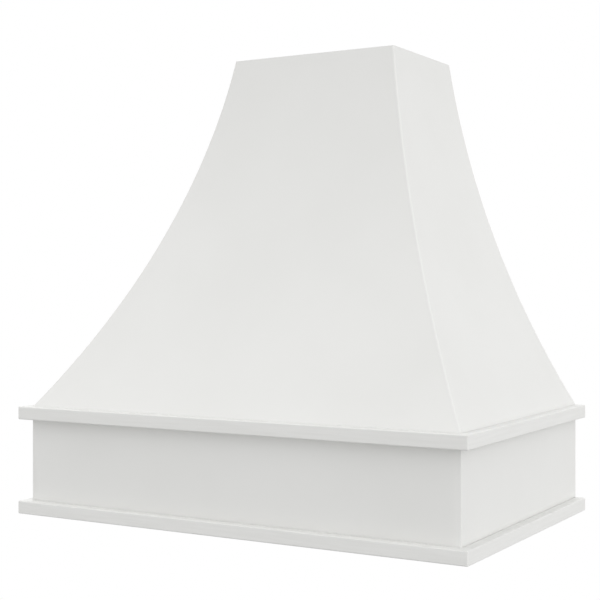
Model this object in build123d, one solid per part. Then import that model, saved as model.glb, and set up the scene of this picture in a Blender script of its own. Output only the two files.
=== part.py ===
from build123d import *
import math
import os

# A wooden range hood cover: a flared canopy over a straight apron with two square trim bands.
# It is open at the wall, below and at the top.
#
# The hood is seen from the room: X runs to the right, Y runs into the wall, Z is up, in millimetres.
# The origin is on the wall, at the middle of the hood's lower back edge.
#
# Bent plywood skins cover a frame of curved ribs, as boards cover a roof's rafters: common ribs stand
# square to each face, a hip rib runs up each front corner, and jack ribs die into the hips with plumb,
# bevelled cuts.

# ---- Outside ----
body_width = 914.4  # across the faces of the apron, 36 in
body_depth = 577.0  # from the wall to the face of the apron
hood_height = 914.4  # 36 in
apron_height = 210.8
top_width = 365.0
top_depth = 265.0
side_bend_radius = 1865.0
front_bend_radius = 1710.0
trim_projection = 20.0
trim_height = 25.4  # 1 in

# ---- Stock ----
skin_thickness = 9.5  # bending plywood
board_thickness = 19.0  # the apron's solid boards
ply_thickness = 18.0  # ribs and rails
hip_thickness = 36.0  # two layers of plywood
rib_depth = 42.0
glue_line = 0.2  # between curved faces
corner_easing = 4.0  # on the canopy's two front corners
apron_easing = 1.5  # on the apron's two front corners
trim_easing = 2.0

# ---- Places of the ribs, each to the rib's middle ----
first_front_rib = 80.0  # from the hood's middle
front_rib_spacing = 160.0
first_side_rib = 140.0  # from the wall
side_rib_spacing = 150.0

# ---- Rails ----
top_rail_height = 60.0
shelf_rail_width = 70.0
ledge_recess = 25.0  # from the hood's underside up to the ledge
ledge_rail_width = 62.0
batten_width = 19.0
batten_height = 30.0
corner_block_leg = 45.0

# ---- Wall fixings ----
lower_wall_rail_height = 110.0
upper_wall_rail_height = 90.0
lower_hole_level = 90.0
upper_hole_level = 525.0
stud_spacing = 406.4  # 16 in
wall_hole_radius = 3.5

# ---- Screws ----
screw_length = 38.0
screw_radius = 2.0
screw_head_radius = 4.2
screw_head_height = 2.8
screw_clearance = 0.1
end_screw_distance = 110.0  # from a ledge rail's end
screws_per_rail = 2

# ---- Worked out from the above ----
half_width = body_width / 2
inner_half_width = half_width - board_thickness
inner_depth = body_depth - board_thickness
rib_outer_inset = skin_thickness + glue_line
rib_inner_inset = rib_outer_inset + rib_depth
rib_top = hood_height - top_rail_height
shelf_underside = apron_height - ply_thickness
ledge_top = ledge_recess + ply_thickness
batten_top = ledge_top + batten_height

FROM_THE_RIGHT = Plane(origin=(0, 0, 0), x_dir=(0, -1, 0), z_dir=(-1, 0, 0))  # local x points to the room


# ======== Shared forms ========
class Flare:
    """A flared face in section: an arc that leans in as it rises, with its centre outside the hood."""

    def __init__(self, foot, head, radius):
        rise = hood_height - apron_height
        run = foot - head
        chord = math.hypot(rise, run)
        reach = math.sqrt(radius**2 - (chord / 2) ** 2)
        self.radius = radius
        self.centre_out = (foot + head) / 2 + reach * rise / chord
        self.centre_up = (apron_height + hood_height) / 2 + reach * run / chord

    def out(self, z, inset=0.0):
        """How far out the face lies at height z, after it is moved in by inset, square to itself."""
        return self.centre_out - math.sqrt((self.radius + inset) ** 2 - (z - self.centre_up) ** 2)

    def edge(self, inset):
        """The moved face's arc in section, from its foot to its head."""
        heights = (apron_height, (apron_height + hood_height) / 2, hood_height)
        return ThreePointArc(*[(self.out(z, inset), z) for z in heights])


side_flare = Flare(half_width, top_width / 2, side_bend_radius)
front_flare = Flare(body_depth, top_depth, front_bend_radius)


def between_sides(inset):
    """All that lies between the two side faces, moved in by inset, from the wall to the front."""
    right = side_flare.edge(inset)
    left = right.mirror(Plane.YZ)
    outline = right + Line(right @ 1, left @ 1) + left + Line(left @ 0, right @ 0)
    return extrude(Plane.XZ * make_face(outline), amount=body_depth)


def behind_front(inset):
    """All that lies between the wall and the front face, moved in by inset."""
    front = front_flare.edge(inset)
    foot, head = front @ 0, front @ 1
    outline = front + Polyline((head.X, head.Y), (0, head.Y), (0, foot.Y), (foot.X, foot.Y))
    return extrude(FROM_THE_RIGHT * make_face(outline), amount=half_width, both=True)


def canopy(inset):
    """The flared volume, with its faces moved in by inset."""
    return between_sides(inset) & behind_front(inset)


def block(x, y, z):
    """A box given by its low and high limits on each axis."""
    limits = (x, y, z)
    middle = [(low + high) / 2 for low, high in limits]
    size = [high - low for low, high in limits]
    return Pos(*middle) * Box(*size)


def both_sides(name, right):
    """A right-hand piece and its mirror image, by name."""
    return {f"{name}_left": right.mirror(Plane.YZ), f"{name}_right": right}


def rightmost(shape):
    return shape.solids().sort_by(Axis.X)[-1]


# ======== Canopy skins ========
def skins():
    """The side skins go on first; the front skin laps over their front edges, and its corners are eased."""
    outer = canopy(0)
    rising = outer.edges().filter_by(lambda edge: abs((edge @ 0).Z - (edge @ 1).Z) > 1)
    outer = fillet(rising.sort_by(Axis.Y)[:2], corner_easing)
    front = outer - behind_front(skin_thickness)
    sides = (outer & behind_front(rib_outer_inset)) - between_sides(skin_thickness)
    return {"skin_front": front.solid()} | both_sides("skin", rightmost(sides))


# ======== Apron and trim ========
def three_sided(outward, inward, low, high, eased, radius):
    """A frame round three sides, open at the wall, from inward behind the apron's faces to outward of them.

    eased picks the edges of the outer block that are rounded, to the given radius.
    """
    outer_half = half_width + outward
    inner_half = half_width - inward
    outer = block((-outer_half, outer_half), (-body_depth - outward, 0), (low, high))
    outer = fillet(eased(outer.edges()), radius)
    return outer - block((-inner_half, inner_half), (-body_depth + inward, 0), (low, high))


def upright_corners(edges):
    return edges.filter_by(Axis.Z).sort_by(Axis.Y)[:2]


def all_but_the_wall_end(edges):
    return edges.filter_by(lambda edge: edge.center().Y < -1)


def mitred(name, ring):
    """A three-sided ring sawn at 45 degrees through its front corners, by name."""
    beyond = trim_projection + board_thickness
    outline = Polyline(
        (-half_width - beyond, -body_depth - beyond),
        (half_width + beyond, -body_depth - beyond),
        (half_width - beyond, -body_depth + beyond),
        (-half_width + beyond, -body_depth + beyond),
        close=True,
    )
    front_zone = extrude(make_face(outline), amount=hood_height)
    front = (ring & front_zone).solid()
    return {f"{name}_front": front} | both_sides(name, rightmost(ring - front_zone))


def apron():
    ring = three_sided(0, board_thickness, 0, apron_height, upright_corners, apron_easing)
    return mitred("apron", ring)


def trim(name, low):
    """A square strip round the apron, its long edges and its corners eased."""
    level = (low, low + trim_height)
    ring = three_sided(trim_projection, 0, *level, all_but_the_wall_end, trim_easing)
    return mitred(name, ring)


# ======== Screws ========
def screw(grow=0.0):
    """A countersunk wood screw, its head's face at the origin; grow widens it into its hole."""
    tip = screw_length + grow
    outline = Polyline(
        (0, 0),
        (screw_head_radius + grow, 0),
        (screw_radius + grow, screw_head_height),
        (screw_radius + grow, tip),
        (0, tip),
        close=True,
    )
    return revolve(Plane.XZ * make_face(outline), Axis.Z)


def screws(spots):
    return Compound(children=[Pos(*spot) * screw() for spot in spots])


def bored(wood, spots):
    """Wood with a fitting hole for the screw at each spot."""
    for spot in spots:
        wood = wood - Pos(*spot) * screw(screw_clearance)
    return wood.solid()


# ======== Ribs ========
class Hip:
    """The upright plane through the right front corner, and the hip rib that stands in it."""

    def __init__(self):
        self.head = self.corner(rib_top, rib_outer_inset)
        foot = self.corner(apron_height, rib_outer_inset)
        self.outward = (foot - self.head).normalized()
        across = self.outward.cross(Vector(0, 0, 1))
        self.plane = Plane(origin=self.head, x_dir=self.outward, z_dir=across)

    def corner(self, z, inset):
        """The canopy's corner in plan at height z, with its faces moved in by inset."""
        return Vector(side_flare.out(z, inset), -front_flare.out(z, inset), 0)

    def zone(self):
        """The space of the hip's whole thickness, past both of its ends; jack ribs stop at it."""
        outline = Rectangle(3 * body_width, 3 * hood_height)
        return extrude(self.plane * outline, hip_thickness / 2, both=True)

    def rib(self):
        """Sawn to an arc inside; outside, its edge is backed to the slope of both skins."""
        heights = (apron_height, (apron_height + rib_top) / 2, rib_top)
        inside = [
            ((self.corner(z, rib_inner_inset) - self.head).dot(self.outward), z) for z in heights
        ]
        beyond = body_width
        sawn = ThreePointArc(*inside)
        outline = sawn + Polyline(inside[-1], (beyond, rib_top), (beyond, apron_height), inside[0])
        board = extrude(self.plane * make_face(outline), hip_thickness / 2, both=True)
        return board & canopy(rib_outer_inset)


def ribs():
    """The ribs stand on the shelf; each is made for the right and mirrored for the left."""
    layer = canopy(rib_outer_inset) - canopy(rib_inner_inset)
    layer = layer & block((0, half_width), (-body_depth, 0), (apron_height, rib_top))
    hip = Hip()
    hip_zone = hip.zone()

    def facing_side(y):
        """A rib under the side skin, its middle at y; where it meets the hip it is cut off."""
        middle = (y - ply_thickness / 2, y + ply_thickness / 2)
        board = layer & block((0, half_width), middle, (apron_height, rib_top))
        return rightmost(board - hip_zone)

    def facing_front(x):
        """A rib under the front skin, its middle at x; where it meets the hip it is cut off."""
        middle = (x - ply_thickness / 2, x + ply_thickness / 2)
        board = layer & block(middle, (-body_depth, 0), (apron_height, rib_top))
        return (board - hip_zone).solids().sort_by(Axis.Y)[0]

    right = {
        "wall_rib": facing_side(-ply_thickness / 2),
        "side_rib": facing_side(-first_side_rib),
        "side_jack_rib_long": facing_side(-first_side_rib - side_rib_spacing),
        "side_jack_rib_short": facing_side(-first_side_rib - 2 * side_rib_spacing),
        "front_rib": facing_front(first_front_rib),
        "front_jack_rib": facing_front(first_front_rib + front_rib_spacing),
        "hip_rib": hip.rib(),
    }
    pieces = {}
    for name, rib in right.items():
        pieces |= both_sides(name, rib)
    return pieces


# ======== Rails ========
def top_rails():
    """Planed to the skins' slope outside and plumb inside, where the duct comes up."""
    half_opening = side_flare.out(hood_height, rib_outer_inset) - ply_thickness
    front_of_opening = -front_flare.out(hood_height, rib_outer_inset) + ply_thickness
    level = (rib_top, hood_height)
    lining = canopy(rib_outer_inset)
    side = lining & block((half_opening, half_width), (-body_depth, 0), level)
    front = lining & block((-half_opening, half_opening), (-body_depth, front_of_opening), level)
    back = block((-half_opening, half_opening), (-ply_thickness, 0), level)
    return {"top_rail_front": front, "top_rail_back": back} | both_sides("top_rail", side)


def rail_frame(name, width, back, low, high):
    """Four flat rails round the inside of the apron: front and back run through, the sides fit between."""
    level = (low, high)
    across = (-inner_half_width, inner_half_width)
    front = block(across, (-inner_depth, -inner_depth + width), level)
    rear = block(across, (back - width, back), level)
    right = (inner_half_width - width, inner_half_width)
    side = block(right, (-inner_depth + width, back - width), level)
    return {f"{name}_front": front, f"{name}_back": rear} | both_sides(name, side)


def wall_rail(width, low, high, hole_level):
    """A rail against the wall, with a hole over each of two studs."""
    rail = block((-width / 2, width / 2), (-ply_thickness, 0), (low, high))
    hole = Cylinder(wall_hole_radius, 3 * ply_thickness, rotation=(90, 0, 0))
    for x in (-stud_spacing / 2, stud_spacing / 2):
        rail = rail - Pos(x, 0, hole_level) * hole
    return rail


def wall_rails():
    """The lower rail fits between the apron's boards; the upper one is scribed to the wall ribs."""
    low = upper_hole_level - upper_wall_rail_height / 2
    high = upper_hole_level + upper_wall_rail_height / 2
    lower = wall_rail(2 * inner_half_width, 0, lower_wall_rail_height, lower_hole_level)
    upper = wall_rail(body_width, low, high, upper_hole_level)
    upper = upper & between_sides(rib_inner_inset + glue_line)
    return {"wall_rail_lower": lower, "wall_rail_upper": upper}


def ledge_spots():
    """Where the screws enter under the ledge, in line with the battens' middles."""
    to_middle = batten_width / 2
    end_x = inner_half_width - end_screw_distance
    side_x = inner_half_width - to_middle
    front_y = -inner_depth + to_middle
    back_y = -ply_thickness - to_middle
    in_from_rails = ledge_rail_width + end_screw_distance
    along_side = spaced(-inner_depth + in_from_rails, -ply_thickness - in_from_rails)
    spots = [(x, y, ledge_recess) for y in (front_y, back_y) for x in spaced(-end_x, end_x)]
    spots += [(x, y, ledge_recess) for x in (-side_x, side_x) for y in along_side]
    return spots


def spaced(first, last):
    """One rail's screws, evenly spread from the first to the last."""
    step = (last - first) / (screws_per_rail - 1)
    return [first + step * i for i in range(screws_per_rail)]


def corner_block():
    """A three-cornered block glued into the apron's right front corner."""
    corner = (inner_half_width, -inner_depth)
    outline = Polyline(
        corner,
        (corner[0], corner[1] + corner_block_leg),
        (corner[0] - corner_block_leg, corner[1]),
        close=True,
    )
    return Pos(0, 0, batten_top) * extrude(make_face(outline), amount=shelf_underside - batten_top)


# ======== The whole hood ========
def build():
    pieces = skins() | apron()
    pieces |= trim("trim_lower", 0)
    pieces |= trim("trim_upper", apron_height - trim_height)
    pieces |= top_rails() | wall_rails() | both_sides("corner_block", corner_block())

    pieces |= ribs() | rail_frame("shelf_rail", shelf_rail_width, 0, shelf_underside, apron_height)

    ledge = rail_frame("ledge_rail", ledge_rail_width, -ply_thickness, ledge_recess, ledge_top)
    battens = rail_frame("ledge_batten", batten_width, -ply_thickness, ledge_top, batten_top)
    pieces |= {name: bored(wood, ledge_spots()) for name, wood in (ledge | battens).items()}
    pieces["ledge_screws"] = screws(ledge_spots())
    return pieces


os.makedirs("parts", exist_ok=True)
for name, piece in build().items():
    export_step(piece, f"parts/{name}.step")
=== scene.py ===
import math

import bmesh
import bpy
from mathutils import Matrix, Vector


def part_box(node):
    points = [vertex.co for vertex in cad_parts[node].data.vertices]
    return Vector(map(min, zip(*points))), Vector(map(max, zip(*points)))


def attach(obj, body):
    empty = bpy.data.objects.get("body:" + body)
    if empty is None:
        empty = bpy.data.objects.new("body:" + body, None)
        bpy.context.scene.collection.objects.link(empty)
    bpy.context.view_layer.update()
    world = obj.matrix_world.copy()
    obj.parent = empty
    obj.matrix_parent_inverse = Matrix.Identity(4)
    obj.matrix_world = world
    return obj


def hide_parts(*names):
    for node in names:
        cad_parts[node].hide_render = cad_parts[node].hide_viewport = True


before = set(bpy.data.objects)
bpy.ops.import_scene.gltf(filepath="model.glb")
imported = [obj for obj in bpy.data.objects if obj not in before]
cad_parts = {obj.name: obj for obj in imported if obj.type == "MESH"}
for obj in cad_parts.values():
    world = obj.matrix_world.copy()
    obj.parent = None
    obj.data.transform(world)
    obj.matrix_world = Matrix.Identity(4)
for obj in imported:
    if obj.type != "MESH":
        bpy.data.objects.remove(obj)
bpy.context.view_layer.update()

# ======== Camera ========
# A level camera stands in the room, right of the hood and a little below its middle. It looks at the hood
# through a long lens that is lowered on its film, so upright edges stay upright.
camera = bpy.data.cameras.new("camera")
camera.sensor_width = 36.0
camera.lens = 77.099
camera.shift_y = -0.02668
camera_object = bpy.data.objects.new("camera", camera)
camera_object.location = (1.28075, -2.50237, 0.45210)
camera_object.rotation_euler = (math.radians(90), 0, math.radians(30.3156))
bpy.context.scene.collection.objects.link(camera_object)
bpy.context.scene.camera = camera_object
bpy.context.scene.view_settings.view_transform = "Standard"


# ======== Floor ========
# The hood hangs at its working height over a pale, plain floor that keeps its soft shadow and throws less
# light back than the camera sees. Away from the hood the floor fades into the white of the room, and from
# below it is not seen.
class Wire:
    """An output socket of a shader. Arithmetic adds Math nodes, and node() adds any other node."""

    def __init__(self, tree, socket=None):
        self.tree = tree
        self.socket = socket

    def node(self, kind, settings=None, inputs=None, output=0):
        """Adds a node: first its settings, then the values or links of its sockets."""
        made = self.tree.nodes.new("ShaderNode" + kind)
        for name, value in (settings or {}).items():
            setattr(made, name, value)
        for name, value in (inputs or {}).items():
            if isinstance(value, Wire):
                self.tree.links.new(value.socket, made.inputs[name])
            else:
                made.inputs[name].default_value = value
        return Wire(self.tree, made.outputs[output])

    def maths(self, operation, first, second):
        return self.node("Math", {"operation": operation}, {0: first, 1: second})

    def __add__(self, other):
        return self.maths("ADD", self, other)

    def __rsub__(self, other):
        return self.maths("SUBTRACT", other, self)

    def __mul__(self, other):
        return self.maths("MULTIPLY", self, other)

    def __mod__(self, other):
        return self.maths("FLOORED_MODULO", self, other)

    def __gt__(self, other):
        return self.maths("GREATER_THAN", self, other)

    def __lt__(self, other):
        return self.maths("LESS_THAN", self, other)

    __radd__ = __add__
    __rmul__ = __mul__

    def rise(self, low, high):
        """0 below low and 1 above high, with a smooth step between."""
        inputs = {"Value": self, "From Min": low, "From Max": high}
        return self.node("MapRange", {"interpolation_type": "SMOOTHSTEP"}, inputs)

    def noise(self, scale, detail=2.0):
        """Soft noise, scale blots to the metre; scale may be three numbers, one for each direction."""
        stretch = scale if isinstance(scale, tuple) else (scale, scale, scale)
        placed = self.node("Mapping", inputs={"Vector": self, "Scale": stretch})
        return placed.node("TexNoise", inputs={"Vector": placed, "Scale": 1.0, "Detail": detail})

    def mix(self, first, second):
        """The first colour where this wire is 0, the second where it is 1."""
        factor, colour_a, colour_b, colour = 0, 6, 7, 2
        inputs = {factor: self, colour_a: first, colour_b: second}
        return self.node("Mix", {"data_type": "RGBA"}, inputs, colour)

    def into(self, node, name):
        self.tree.links.new(self.socket, node.inputs[name])


def new_material(name):
    """A new material, its shader and a wire to start from."""
    material = bpy.data.materials.new(name)
    material.use_nodes = True
    return material, material.node_tree.nodes["Principled BSDF"], Wire(material.node_tree)


floor_level = -1.6
floor_radius = 2.0
fade_start, fade_end = 0.9, 1.9
grey_as_lit = (0.44, 0.44, 0.436, 1)
pale_as_seen = (0.80, 0.80, 0.79, 1)
under_hood = (0, 0, floor_level)
bpy.ops.object.select_all(action="DESELECT")
bpy.ops.mesh.primitive_circle_add(vertices=96, radius=floor_radius, fill_type="NGON", location=under_hood)
bpy.ops.object.transform_apply(location=True, rotation=False, scale=False)
floor = bpy.context.object
floor.name = "floor"
floor_paint, shader, start = new_material("pale_floor")
shader.inputs["Roughness"].default_value = 0.9
place = start.node("TexCoord", output="Object")
away = start.node("VectorMath", {"operation": "DISTANCE"}, {0: place, 1: under_hood}, "Value")
camera_ray = start.node("LightPath", output="Is Camera Ray")
camera_ray.mix(grey_as_lit, pale_as_seen).into(shader, "Base Color")
white = start.node("Emission", inputs={"Color": (1, 1, 1, 1), "Strength": 1.0})
lit = Wire(start.tree, shader.outputs["BSDF"])
faded = start.node("MixShader", inputs={0: away.rise(fade_start, fade_end) * camera_ray, 1: lit, 2: white})
underside = start.node("NewGeometry", output="Backfacing") * camera_ray
seen_through = start.node("BsdfTransparent")
seen = start.node("MixShader", inputs={0: underside, 1: faded, 2: seen_through})
seen.into(start.tree.nodes["Material Output"], "Surface")
floor.data.materials.append(floor_paint)

# ======== Light ========
# A white room lights the hood softly all round. Broad lamps stand at its left and right, and one behind it.
# The camera and reflections see plain white, and no lamp shows in a reflection.
room_light = 0.525
world = bpy.data.worlds.new("white_room")
bpy.context.scene.world = world
world.use_nodes = True
start = Wire(world.node_tree)
seen = start.node("LightPath", output="Is Camera Ray")
for ray in ("Is Glossy Ray", "Is Transmission Ray"):
    seen = seen.maths("MAXIMUM", seen, start.node("LightPath", output=ray))
background = world.node_tree.nodes["Background"]
background.inputs["Color"].default_value = (1, 1, 1, 1)
(room_light + seen * (1 - room_light)).into(background, "Strength")

lamp_spread = math.radians(50)
lamps = {  # bearing and height in degrees, then strength
    "left_lamp": (-75, 35, 0.89),
    "low_right_lamp": (60, 10, 1.20),
    "high_right_lamp": (60, 60, 0.55),
    "back_lamp": (-150, 35, 0.9),
}
for name, (bearing, height, strength) in lamps.items():
    lamp = bpy.data.lights.new(name, "SUN")
    lamp.energy = strength
    lamp.angle = lamp_spread
    lamp_object = bpy.data.objects.new(name, lamp)
    lamp_object.rotation_euler = (math.radians(90 - height), 0, math.radians(bearing))
    lamp_object.visible_glossy = False
    bpy.context.scene.collection.objects.link(lamp_object)


# ======== Apron ========
# Three poplar boards make the hood's straight foot. They are mitred and glued at the two front corners and
# open at the wall. Satin paint is sprayed on outside and wraps a thumb's width inside the lower edge.
def satin_paint(name, grain_shows):
    """Sprayed white paint with a fine orange peel. The wood's grain shows in it by grain_shows, 0 to 1."""
    paint, shader, start = new_material(name)
    place = start.node("TexCoord", output="Object")
    board = start.node("Attribute", {"attribute_name": "board"}, output="Vector")
    thin_coat = (0.785, 0.785, 0.767, 1)
    full_coat = (0.811, 0.811, 0.795, 1)
    spray = place.noise(5.0).rise(0.1, 0.9)
    grain = board.noise((11.0, 210.0, 210.0), 3.0)
    thickness = spray * (1 - grain_shows) + grain.rise(0.3, 0.7) * grain_shows
    thickness.mix(thin_coat, full_coat).into(shader, "Base Color")
    (0.38 + 0.09 * place.noise(40.0)).into(shader, "Roughness")
    relief = place.noise(450.0) * 0.000001 + grain * (0.000004 * grain_shows)
    bump = {"Height": relief, "Distance": 1.0, "Strength": 1.0}
    start.node("Bump", inputs=bump).into(shader, "Normal")
    return paint


def bare_wood(name, early, late, rings):
    """Planed solid wood: growth rings, rings to the metre, that wander along the board, and fine fibres."""
    wood, shader, start = new_material(name)
    board = start.node("Attribute", {"attribute_name": "board"}, output="Vector")
    across = start.node("SeparateXYZ", inputs={0: board}, output="Y")
    through = start.node("SeparateXYZ", inputs={0: board}, output="Z")
    wander = board.noise((1.6, 11.0, 11.0), 3.0)
    ring = ((across + 0.7 * through + 0.22 * wander) * rings) % 1.0
    late_wood = ring.rise(0.2, 0.8) * (1 - ring.rise(0.8, 1.0))
    fibres = board.noise((16.0, 900.0, 900.0), 4.0)
    tone = late_wood * 0.3 + wander.rise(0.3, 0.7) * 0.25 + fibres * 0.45
    tone.mix(early, late).into(shader, "Base Color")
    (0.6 + 0.15 * fibres).into(shader, "Roughness")
    relief = {"Height": fibres * 0.00003, "Distance": 1.0, "Strength": 1.0}
    start.node("Bump", inputs=relief).into(shader, "Normal")
    return wood


def sawn(name, low, high):
    """Adds a square-edged board between two corners and opens it for shaping."""
    bpy.ops.object.select_all(action="DESELECT")
    middle = [(a + b) / 2 for a, b in zip(low, high)]
    size = [b - a for a, b in zip(low, high)]
    bpy.ops.mesh.primitive_cube_add(size=1, location=middle, scale=size)
    bpy.ops.object.transform_apply(location=True, rotation=False, scale=True)
    piece = bpy.context.object
    piece.name = name
    bpy.ops.object.mode_set(mode="EDIT")
    return piece


def pick(kind, wanted):
    """Selects the vertices, edges or faces of the open piece for which wanted() says yes."""
    bpy.ops.mesh.select_mode(type=kind)
    bpy.ops.mesh.select_all(action="DESELECT")
    mesh = bmesh.from_edit_mesh(bpy.context.object.data)
    for element in {"VERT": mesh.verts, "EDGE": mesh.edges, "FACE": mesh.faces}[kind]:
        if wanted(element):
            element.select_set(True)
    mesh.select_flush_mode()
    bmesh.update_edit_mesh(bpy.context.object.data)


hair = 0.00002


def near(value, target):
    """Whether two places lie less than a hair apart."""
    return abs(value - target) < hair


def saw(point, normal):
    """Saws the open piece through and keeps the side that normal points away from."""
    bpy.ops.mesh.select_mode(type="VERT")
    bpy.ops.mesh.select_all(action="SELECT")
    bpy.ops.mesh.bisect(plane_co=point, plane_no=normal, use_fill=True, clear_outer=True)


def three_sided(name, front_node, right_node):
    """A frame round three sides in one length, at the outer and inner faces of two nodes; left open."""
    outer_y, inner_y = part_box(front_node)[0].y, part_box(front_node)[1].y
    inner_x, outer_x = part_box(right_node)[0].x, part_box(right_node)[1].x
    low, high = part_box(front_node)[0].z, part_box(front_node)[1].z
    frame_piece = sawn(name, (-outer_x, outer_y, low), (outer_x, inner_y, high))
    for x in (-inner_x, inner_x):
        bpy.ops.mesh.select_all(action="SELECT")
        bpy.ops.mesh.bisect(plane_co=(x, 0, 0), plane_no=(1, 0, 0))
    pick("FACE", lambda f: f.normal.y > 0.9 and abs(f.calc_center_median().x) > inner_x)
    to_wall = {"value": (0, -inner_y, 0)}
    bpy.ops.mesh.extrude_region_move(TRANSFORM_OT_translate=to_wall)
    return frame_piece


def ease(radius, wanted, segments=4):
    """Rounds the edges of the open piece for which wanted() says yes."""
    pick("EDGE", wanted)
    bpy.ops.mesh.bevel(offset=radius, segments=segments, profile=0.5, affect="EDGES")


crease = math.radians(40)  # a sharper turn is an arris, a lesser one is part of a bend


def finish_normals(piece):
    """Closes the piece: rounded edges shade smoothly and flat faces stay flat."""
    bpy.ops.object.mode_set(mode="OBJECT")
    bpy.ops.object.shade_smooth_by_angle(angle=crease)
    weighted = piece.modifiers.new("weighted_normals", "WEIGHTED_NORMAL")
    weighted.keep_sharp = True
    bpy.ops.object.modifier_apply(modifier=weighted.name)


def twin(piece, name):
    """A copy of a piece with its own mesh, opened for shaping."""
    copy = bpy.data.objects.new(name, piece.data.copy())
    bpy.context.scene.collection.objects.link(copy)
    bpy.ops.object.select_all(action="DESELECT")
    copy.select_set(True)
    bpy.context.view_layer.objects.active = copy
    bpy.ops.object.mode_set(mode="EDIT")
    return copy


def mark_board(piece, where):
    """Stores for each point how far it lies along the grain, across it and through the board."""
    board = piece.data.attributes.new("board", "FLOAT_VECTOR", "POINT")
    for point, mark in zip(piece.data.vertices, board.data):
        mark.vector = where(point.co)


def coat(piece, outside, inside, wanted):
    """Gives the piece its outside finish on the faces for which wanted() says yes, and inside on the rest."""
    piece.data.materials.append(inside)
    piece.data.materials.append(outside)
    for face in piece.data.polygons:
        face.material_index = int(wanted(face))


def fit(piece, slot, *nodes):
    """Fixes the finished piece in the hood, where it stands for its plain nodes."""
    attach(piece, "root")
    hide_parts(*nodes)


mitre_chamfer = 0.00015
other_board = 3.0  # metres on along the grain, so that no two boards show the same figure


def mitred(whole, node_name, finish):
    """Saws a three-sided frame at 45 degrees into its front, left and right lengths, and finishes each."""
    corner = Vector((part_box(f"{node_name}_right")[1].x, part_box(f"{node_name}_front")[0].y, 0))
    other = Vector((-corner.x, corner.y, 0))
    cuts = {
        "front": [(corner, (1, 1, 0)), (other, (-1, 1, 0))],
        "right": [(corner, (-1, -1, 0))],
        "left": [(other, (1, -1, 0))],
    }
    for side, planes in cuts.items():
        length = twin(whole, f"{node_name}_{side}_length")
        for point, normal in planes:
            saw(point, normal)
        joint = [Vector(normal).normalized() for point, normal in planes]
        pick("FACE", lambda f: any(abs(f.normal.dot(n)) > 0.999 for n in joint))
        bpy.ops.mesh.select_mode(type="EDGE")
        bpy.ops.mesh.region_to_loop()
        bpy.ops.mesh.bevel(offset=mitre_chamfer, segments=1, affect="EDGES")
        finish_normals(length)
        if side == "front":
            mark_board(length, lambda p: (p.x, p.z, p.y))
        else:
            mark_board(length, lambda p: (p.y + math.copysign(other_board, p.x), p.z, p.x))
        finish(length)
        fit(length, "painted_wood", f"{node_name}_{side}")
    bpy.data.objects.remove(whole)


smooth_paint = satin_paint("satin_white", 0.0)
poplar = bare_wood("poplar", (0.60, 0.49, 0.31, 1), (0.43, 0.34, 0.19, 1), 70.0)
painted_inside = 0.024
apron_arris = 0.0015
past_chamfer = 0.0002
inner_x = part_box("apron_right")[0].x
inner_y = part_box("apron_front")[1].y


def coat_apron(board):
    """Outside and underneath painted, and inside up to painted_inside."""
    bpy.ops.object.mode_set(mode="EDIT")
    bpy.ops.mesh.select_all(action="SELECT")
    bpy.ops.mesh.bisect(plane_co=(0, 0, painted_inside), plane_no=(0, 0, 1))
    bpy.ops.object.mode_set(mode="OBJECT")

    def bare(face):
        x, y, z = face.center
        indoors = abs(x) < inner_x + past_chamfer and y > inner_y - past_chamfer
        return z > painted_inside and (indoors or face.normal.z > 0.9 or near(y, 0))

    coat(board, smooth_paint, poplar, lambda face: not bare(face))


apron = three_sided("apron", "apron_front", "apron_right")
corner_x, corner_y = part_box("apron_right")[1].x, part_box("apron_front")[0].y
ease(apron_arris, lambda e: all(near(abs(v.co.x), corner_x) and near(v.co.y, corner_y) for v in e.verts))
bpy.ops.object.mode_set(mode="OBJECT")
mitred(apron, "apron", coat_apron)


# ======== Rails ========
# Four flat plywood rails close the apron's top and carry the ribs, with a countersunk hole under each rib's
# foot. Four more, low down, hold the ventilator's flange. Two upright ones go against the wall, with holes
# over two studs.
def plywood(name, light, dark, end_grain):
    """A sheet of peeled veneers: figured faces, and edges where every second ply shows its end grain."""
    sheet, shader, start = new_material(name)
    board = start.node("Attribute", {"attribute_name": "board"}, output="Vector")
    plies = start.node("SeparateXYZ", inputs={0: board}, output="Z")
    figure = board.noise((1.1, 17.0, 0.6), 3.0).rise(0.35, 0.65)
    fibres = board.noise((15.0, 620.0, 3.0), 4.0)
    long_grain = (figure * 0.55 + fibres * 0.45).mix(light, dark)
    crossed = (plies % 2.0) > 1.0
    veneers = crossed.mix(long_grain, end_grain)
    glue_line = ((plies % 1.0) < 0.1) * (plies > 0.5)
    glue = (0.20, 0.12, 0.06, 1)
    glue_line.mix(veneers, glue).into(shader, "Base Color")
    (0.58 + 0.2 * fibres).into(shader, "Roughness")
    relief = {"Height": fibres * 0.00003, "Distance": 1.0, "Strength": 1.0}
    start.node("Bump", inputs=relief).into(shader, "Normal")
    return sheet


same_point, same_plane = 0.000002, math.radians(0.2)
sanded_off = 0.0006
ply = 0.0014
in_face = 0.03  # of a ply, so that each face lies within its own veneer


def from_frame(node, name):
    """A copy of a node whose shape is already right, its facets merged and its arrises broken."""
    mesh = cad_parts[node].data.copy()
    mesh.materials.clear()
    piece = bpy.data.objects.new(name, mesh)
    bpy.context.scene.collection.objects.link(piece)
    bpy.ops.object.select_all(action="DESELECT")
    piece.select_set(True)
    bpy.context.view_layer.objects.active = piece
    bpy.ops.mesh.customdata_custom_splitnormals_clear()
    bpy.ops.object.mode_set(mode="EDIT")
    bpy.ops.mesh.select_all(action="SELECT")
    bpy.ops.mesh.remove_doubles(threshold=same_point)
    bpy.ops.mesh.dissolve_limited(angle_limit=same_plane)
    bpy.ops.object.mode_set(mode="OBJECT")
    arris = piece.modifiers.new("broken_arris", "BEVEL")
    arris.width = sanded_off
    arris.segments = 2
    arris.angle_limit = crease
    bpy.ops.object.modifier_apply(modifier=arris.name)
    return piece


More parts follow.
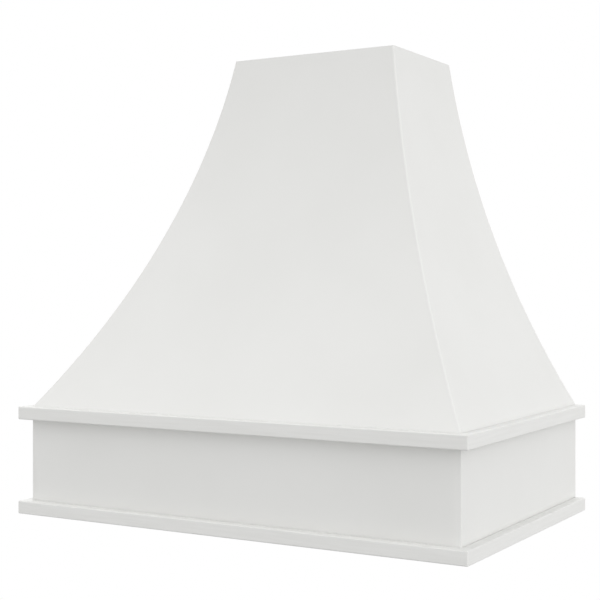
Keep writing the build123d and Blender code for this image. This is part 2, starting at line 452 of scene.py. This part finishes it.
def mark_sheet(piece, shift):
    """Marks a flat board: its grain runs its longest way, its plies lie in its widest face."""
    through = max(piece.data.polygons, key=lambda face: face.area).normal.copy()
    places = [p.co for p in piece.data.vertices]
    spans = [max(co[i] for co in places) - min(co[i] for co in places) for i in range(3)]
    along = Vector([float(span == max(spans)) for span in spans])
    across = through.cross(along)
    depths = [co.dot(through) for co in places]
    thickness = max(depths) - min(depths)
    plies = 2 * round(thickness / ply / 2 - 0.5) + 1

    def where(point):
        share = (point.dot(through) - min(depths)) / thickness
        return (point.dot(along) + shift, point.dot(across), in_face + share * (plies - 2 * in_face))

    mark_board(piece, where)


def grow(rise, width):
    """Pulls the selected face up by rise and scales it by width about the upright axis."""
    bpy.ops.mesh.extrude_region_move(TRANSFORM_OT_translate={"value": (0, 0, rise)})
    bpy.ops.transform.resize(value=(width, width, 1), center_override=(0, 0, 0))


def cut_out(piece, cutter):
    """Takes the cutter's shape out of the piece, and the cutter away."""
    bpy.ops.object.select_all(action="DESELECT")
    piece.select_set(True)
    bpy.context.view_layer.objects.active = piece
    cut = piece.modifiers.new("cut", "BOOLEAN")
    cut.object = cutter
    cut.operation = "DIFFERENCE"
    cut.solver = "EXACT"
    bpy.ops.object.modifier_apply(modifier=cut.name)
    bpy.data.objects.remove(cutter)


head_radius, head_height, neck_radius = 0.0042, 0.0028, 0.0020
round_sides = 24
fit_round_screw = 0.0001
below_board, through_board = 0.001, 0.030


def screw_hole(spot):
    """The shape of a countersunk hole that goes up from a spot, to be cut out of a board."""
    bpy.ops.object.select_all(action="DESELECT")
    mouth, bore = head_radius + fit_round_screw, neck_radius + fit_round_screw
    bpy.ops.mesh.primitive_circle_add(vertices=round_sides, radius=mouth, fill_type="NGON")
    hole = bpy.context.object
    bpy.ops.object.mode_set(mode="EDIT")
    grow(below_board, 1.0)
    grow(head_height, bore / mouth)
    grow(through_board, 1.0)
    bpy.ops.mesh.select_all(action="SELECT")
    bpy.ops.mesh.normals_make_consistent(inside=False)
    bpy.ops.transform.translate(value=Vector(spot) - Vector((0, 0, below_board)))
    bpy.ops.object.mode_set(mode="OBJECT")
    return hole


def foot(node):
    """The middle of a rib's foot."""
    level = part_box(node)[0].z
    corners = [p.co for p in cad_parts[node].data.vertices if near(p.co.z, level)]
    return [(max(co[i] for co in corners) + min(co[i] for co in corners)) / 2 for i in (0, 1)]


def under(node, spot):
    """Whether the spot lies within the box of a node, seen from below."""
    near_corner, far_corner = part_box(node)
    return all(near_corner[i] < spot[i] < far_corner[i] for i in (0, 1))


def frame_board(node, material, slot, shift, holes=()):
    """A plain board of the hood's frame, from its node to its place, with holes for screws."""
    board = from_frame(node, f"{node}_board")
    for spot in holes:
        cut_out(board, screw_hole(spot))
    finish_normals(board)
    mark_sheet(board, shift)
    board.data.materials.append(material)
    fit(board, slot, node)


birch = plywood("birch_plywood", (0.72, 0.56, 0.37, 1), (0.55, 0.38, 0.21, 1), (0.33, 0.21, 0.11, 1))
four_sides = ("front", "back", "left", "right")
rails = [f"{level}_rail_{side}" for level in ("shelf", "ledge") for side in four_sides]
rails += ["wall_rail_lower", "wall_rail_upper"]
rib_kinds = (
    "wall_rib", "side_rib", "side_jack_rib_long", "side_jack_rib_short",
    "front_rib", "front_jack_rib", "hip_rib",
)
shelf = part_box("shelf_rail_front")[0].z
clear_of_block = 0.009  # inward and back, which keeps a hip's screw off the corner block
rib_spots = []
for kind in rib_kinds:
    for side, inward in (("left", 1), ("right", -1)):
        x, y = foot(f"{kind}_{side}")
        if kind == "hip_rib":
            x, y = x + inward * clear_of_block, y + clear_of_block
        rib_spots.append((x, y, shelf))
for i, rail in enumerate(rails):
    holes = [spot for spot in rib_spots if rail.startswith("shelf") and under(rail, spot)]
    frame_board(rail, birch, "plywood", 1.7 * i, holes)

# ======== Battens and corner blocks ========
# Square poplar battens stand on the ledge rails against the apron, and a three-cornered block is glued into
# each front corner above them.
battens = [f"ledge_batten_{side}" for side in four_sides]
for i, piece in enumerate(battens + ["corner_block_left", "corner_block_right"]):
    frame_board(piece, poplar, "solid_wood", 2.3 * i)

# ======== Ribs ========
# Sawn plywood ribs stand on the shelf like rafters and give the flare its curve: plain ones square to each
# face, a double-thick hip rib up each front corner, and jack ribs that end against the hips.
for i, kind in enumerate(rib_kinds):
    for j, side in enumerate(("left", "right")):
        frame_board(f"{kind}_{side}", birch, "plywood", 3.1 * i + 1.3 * j)

# ======== Top rails ========
# Four poplar rails close the ribs at the top and are planed to the skins' slope. They leave the middle open
# as the way for the duct.
for i, side in enumerate(four_sides):
    frame_board(f"top_rail_{side}", poplar, "solid_wood", 4.1 * i)


# ======== Skins ========
# Bending plywood is glued and pinned over the ribs: first the two sides, then the front, which laps over
# their edges. The corners are sanded round and the outside is filled, primed and sprayed.
class Flare:
    """A face of the flare in section: an arc that leans in as it rises, with its centre outside."""

    def __init__(self, foot_out, head_out, radius, low, high):
        chord = math.hypot(high - low, foot_out - head_out)
        reach = math.sqrt(radius**2 - (chord / 2) ** 2)
        self.radius = radius
        self.centre_out = (foot_out + head_out) / 2 + reach * (high - low) / chord
        self.centre_up = (low + high) / 2 + reach * (foot_out - head_out) / chord

    def out(self, z, inset=0.0):
        """How far out the face lies at height z, after it is moved in by inset."""
        return self.centre_out - math.sqrt((self.radius + inset) ** 2 - (z - self.centre_up) ** 2)

    def inset(self, out, z):
        """How far behind the face a point lies."""
        return math.hypot(self.centre_out - out, z - self.centre_up) - self.radius


skin_thickness = 0.0095
skin_plies = 7
corner_rounding = 0.0035
levels = 40
low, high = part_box("skin_front")[0].z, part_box("skin_front")[1].z
side_foot, side_head, side_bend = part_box("skin_right")[1].x, 0.1825, 1.865
front_foot, front_head, front_bend = -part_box("skin_front")[0].y, 0.265, 1.710
side_flare = Flare(side_foot, side_head, side_bend, low, high)
front_flare = Flare(front_foot, front_head, front_bend, low, high)


def bend(axis, place, face, inset, ends, end_inset=0.0):
    """Pulls one face of the open board onto a flare, level by level, and its ends in with it.

    The face stands at place on the axis; face and ends are the flares that it and its ends follow.
    """
    for i in range(levels + 1):
        z = low + (high - low) * i / levels
        pick("VERT", lambda v: near(v.co.z, z) and near(v.co[axis], place))
        scale, shift = [1, 1, 1], [0, 0, 0]
        scale[1 - axis] = ends.out(z, end_inset) / ends.out(low)
        shift[axis] = math.copysign(face.out(z, inset), place) - place
        bpy.ops.transform.resize(value=scale, center_override=(0, 0, 0))
        bpy.ops.transform.translate(value=shift)


def upright(edge):
    return abs(edge.verts[0].co.z - edge.verts[1].co.z) > 0.001


def mark_skin(skin, flare, axis):
    """The face grain runs level, across the bend, and the plies follow the flare."""

    def where(point):
        depth = flare.inset(abs(point[axis]), point.z) / skin_thickness
        return (point[1 - axis], point.z, in_face + depth * (skin_plies - 2 * in_face))

    mark_board(skin, where)


def finish_skin(skin, node, flare, axis, painted):
    finish_normals(skin)
    mark_skin(skin, flare, axis)
    coat(skin, smooth_paint, bending_ply, painted)
    fit(skin, "painted_wood", node)


bending_ply = plywood("bending_plywood", (0.58, 0.38, 0.23, 1), (0.44, 0.27, 0.15, 1), (0.27, 0.16, 0.09, 1))
x_axis, y_axis = 0, 1

side_inside, front_inside = side_foot - skin_thickness, front_foot - skin_thickness
right_skin = sawn("skin_right_sheet", (side_inside, -front_foot, low), (side_foot, 0, high))
pick("EDGE", upright)
bpy.ops.mesh.subdivide(number_cuts=levels - 1)
bend(x_axis, side_foot, side_flare, 0.0, front_flare, skin_thickness)
bend(x_axis, side_inside, side_flare, skin_thickness, front_flare, skin_thickness)
bpy.ops.object.mode_set(mode="OBJECT")
left_skin = twin(right_skin, "skin_left_sheet")
bpy.ops.mesh.select_all(action="SELECT")
bpy.ops.transform.resize(value=(-1, 1, 1), center_override=(0, 0, 0))
bpy.ops.mesh.normals_make_consistent(inside=False)
finish_skin(left_skin, "skin_left", side_flare, x_axis, lambda face: face.normal.x < -0.5)
bpy.context.view_layer.objects.active = right_skin
finish_skin(right_skin, "skin_right", side_flare, x_axis, lambda face: face.normal.x > 0.5)

front_skin = sawn("skin_front_sheet", (-side_foot, -front_foot, low), (side_foot, -front_inside, high))
pick("EDGE", upright)
bpy.ops.mesh.subdivide(number_cuts=levels - 1)
bend(y_axis, -front_foot, front_flare, 0.0, side_flare)
bend(y_axis, -front_inside, front_flare, skin_thickness, side_flare)
ease(
    corner_rounding,
    lambda e: upright(e) and all(near(v.co.y, -front_flare.out(v.co.z)) for v in e.verts),
    segments=6,
)
finish_skin(
    front_skin, "skin_front", front_flare, y_axis,
    lambda face: face.normal.y < -0.1 or abs(face.normal.x) > 0.5,
)

# ======== Trim bands ========
# Two stout strips of open-grained wood run round the apron, one under the flare and one at the lower edge,
# mitred at the corners. Their long arrises are rounded, which leaves a fine groove against the apron, and a
# little grain still shows through the paint.
grained_paint = satin_paint("satin_white_over_grain", 1.0)
strip_arris = 0.0025


def coat_trim(strip):
    strip.data.materials.append(grained_paint)


for band in ("trim_upper", "trim_lower"):
    strip = three_sided(band, f"{band}_front", f"{band}_right")
    outer_x, outer_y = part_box(f"{band}_right")[1].x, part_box(f"{band}_front")[0].y

    def on_outline(vertex):
        return near(abs(vertex.co.x), outer_x) or near(vertex.co.y, outer_y)

    def rounded(edge):
        at_wall = all(near(v.co.y, 0) for v in edge.verts)
        inner_corner = upright(edge) and not all(on_outline(v) for v in edge.verts)
        return edge.calc_face_angle() > 0.5 and not at_wall and not inner_corner

    ease(strip_arris, rounded)
    bpy.ops.object.mode_set(mode="OBJECT")
    mitred(strip, band, coat_trim)


# ======== Screws ========
# Countersunk steel wood screws with a cross recess hold the battens to the ledge rails, and more go up
# through the shelf into the foot of each rib. Each head lies flush with the wood and faces down.
def brushed_zinc(name):
    zinc, shader, start = new_material(name)
    shader.inputs["Metallic"].default_value = 1.0
    place = start.node("TexCoord", output="Object")
    haze = place.noise(900.0, 3.0)
    haze.mix((0.74, 0.72, 0.66, 1), (0.60, 0.58, 0.53, 1)).into(shader, "Base Color")
    (0.26 + 0.2 * haze).into(shader, "Roughness")
    return zinc


def joined(pieces, name):
    """Several pieces as one."""
    bpy.ops.object.select_all(action="DESELECT")
    for piece in pieces:
        piece.select_set(True)
    bpy.context.view_layer.objects.active = pieces[0]
    bpy.ops.object.join()
    pieces[0].name = name
    return pieces[0]


root_radius, crest_radius = 0.0015, 0.0021
neck_end, thread_end, screw_length = 0.012, 0.033, 0.038
rim, neck_taper, point_share = 0.0003, 0.0005, 0.1
pitch, ridge_height, crest_share = 0.0021, 0.0011, 0.1
sunk_in, sliver = 0.0002, 0.0001
slot_length, slot_width, slot_depth, slot_taper = 0.0050, 0.0011, 0.0019, 0.5
turn_between = 1.1  # radians from one screw's recess to the next one's
thread_crease = math.radians(35)

bpy.ops.object.select_all(action="DESELECT")
bpy.ops.mesh.primitive_circle_add(vertices=round_sides, radius=head_radius, fill_type="NGON")
screw = bpy.context.object
bpy.ops.object.mode_set(mode="EDIT")
grow(rim, 1.0)
grow(head_height - rim, neck_radius / head_radius)
grow(neck_end - head_height, 1.0)
grow(neck_taper, root_radius / neck_radius)
grow(thread_end - neck_end - neck_taper, 1.0)
grow(screw_length - thread_end, point_share)
bpy.ops.mesh.select_all(action="SELECT")
bpy.ops.mesh.normals_make_consistent(inside=False)
bpy.ops.object.mode_set(mode="OBJECT")
for length, width in ((slot_length, slot_width), (slot_width, slot_length)):
    wing = sawn("wing", (-length / 2, -width / 2, -slot_depth), (length / 2, width / 2, slot_depth))
    pick("FACE", lambda f: f.normal.z > 0.9)
    bpy.ops.transform.resize(value=(slot_taper, slot_taper, 1), center_override=(0, 0, 0))
    bpy.ops.object.mode_set(mode="OBJECT")
    cut_out(screw, wing)

ridge_low = (root_radius - sunk_in, -sliver, neck_end)
ridge_high = (crest_radius, sliver, neck_end + ridge_height)
ridge = sawn("ridge", ridge_low, ridge_high)
pick("FACE", lambda f: abs(f.normal.y) < 0.5)
bpy.ops.mesh.delete(type="FACE")
pick("FACE", lambda f: f.normal.y > 0.5)
bpy.ops.mesh.delete(type="FACE")
pick("VERT", lambda v: v.co.x > root_radius)
bpy.ops.transform.resize(value=(1, 1, crest_share), center_override=(0, 0, neck_end + ridge_height / 2))
bpy.ops.object.mode_set(mode="OBJECT")
turns = ridge.modifiers.new("turns", "SCREW")
turns.screw_offset = pitch
turns.iterations = int((thread_end - neck_end) / pitch)
turns.steps = 14
turns.use_merge_vertices = True
bpy.ops.object.modifier_apply(modifier=turns.name)
bpy.ops.object.mode_set(mode="EDIT")
bpy.ops.mesh.select_all(action="SELECT")
bpy.ops.mesh.fill_holes(sides=4)
bpy.ops.mesh.normals_make_consistent(inside=False)
bpy.ops.object.mode_set(mode="OBJECT")
screw = joined([screw, ridge], "screw")


def driven(name, spots, *nodes):
    """A screw at every spot, its recess turned as it happened to stop, as one group."""
    copies = []
    for i, spot in enumerate(spots):
        copy = twin(screw, f"{name}_{i}")
        bpy.ops.mesh.select_all(action="SELECT")
        bpy.ops.transform.rotate(value=turn_between * i, orient_axis="Z", center_override=(0, 0, 0))
        bpy.ops.transform.translate(value=spot)
        bpy.ops.object.mode_set(mode="OBJECT")
        copies.append(copy)
    group = joined(copies, name)
    bpy.ops.object.shade_smooth_by_angle(angle=thread_crease)
    group.data.materials.append(zinc)
    fit(group, "screw_steel", *nodes)


def middle(node):
    return (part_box(node)[0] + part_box(node)[1]) / 2


zinc = brushed_zinc("zinc_plate")
from_rail_end = 0.110
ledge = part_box("ledge_rail_front")[0].z
ledge_spots = []
for side in ("front", "back"):
    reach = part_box(f"ledge_rail_{side}")[1].x - from_rail_end
    ledge_spots += [(x, middle(f"ledge_batten_{side}").y, ledge) for x in (-reach, reach)]
for side in ("left", "right"):
    rail_front, rail_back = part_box(f"ledge_rail_{side}")
    places = (rail_front.y + from_rail_end, rail_back.y - from_rail_end)
    ledge_spots += [(middle(f"ledge_batten_{side}").x, y, ledge) for y in places]
driven("ledge_screws_group", ledge_spots, "ledge_screws")

driven("rib_screws_group", rib_spots)
bpy.data.objects.remove(screw)
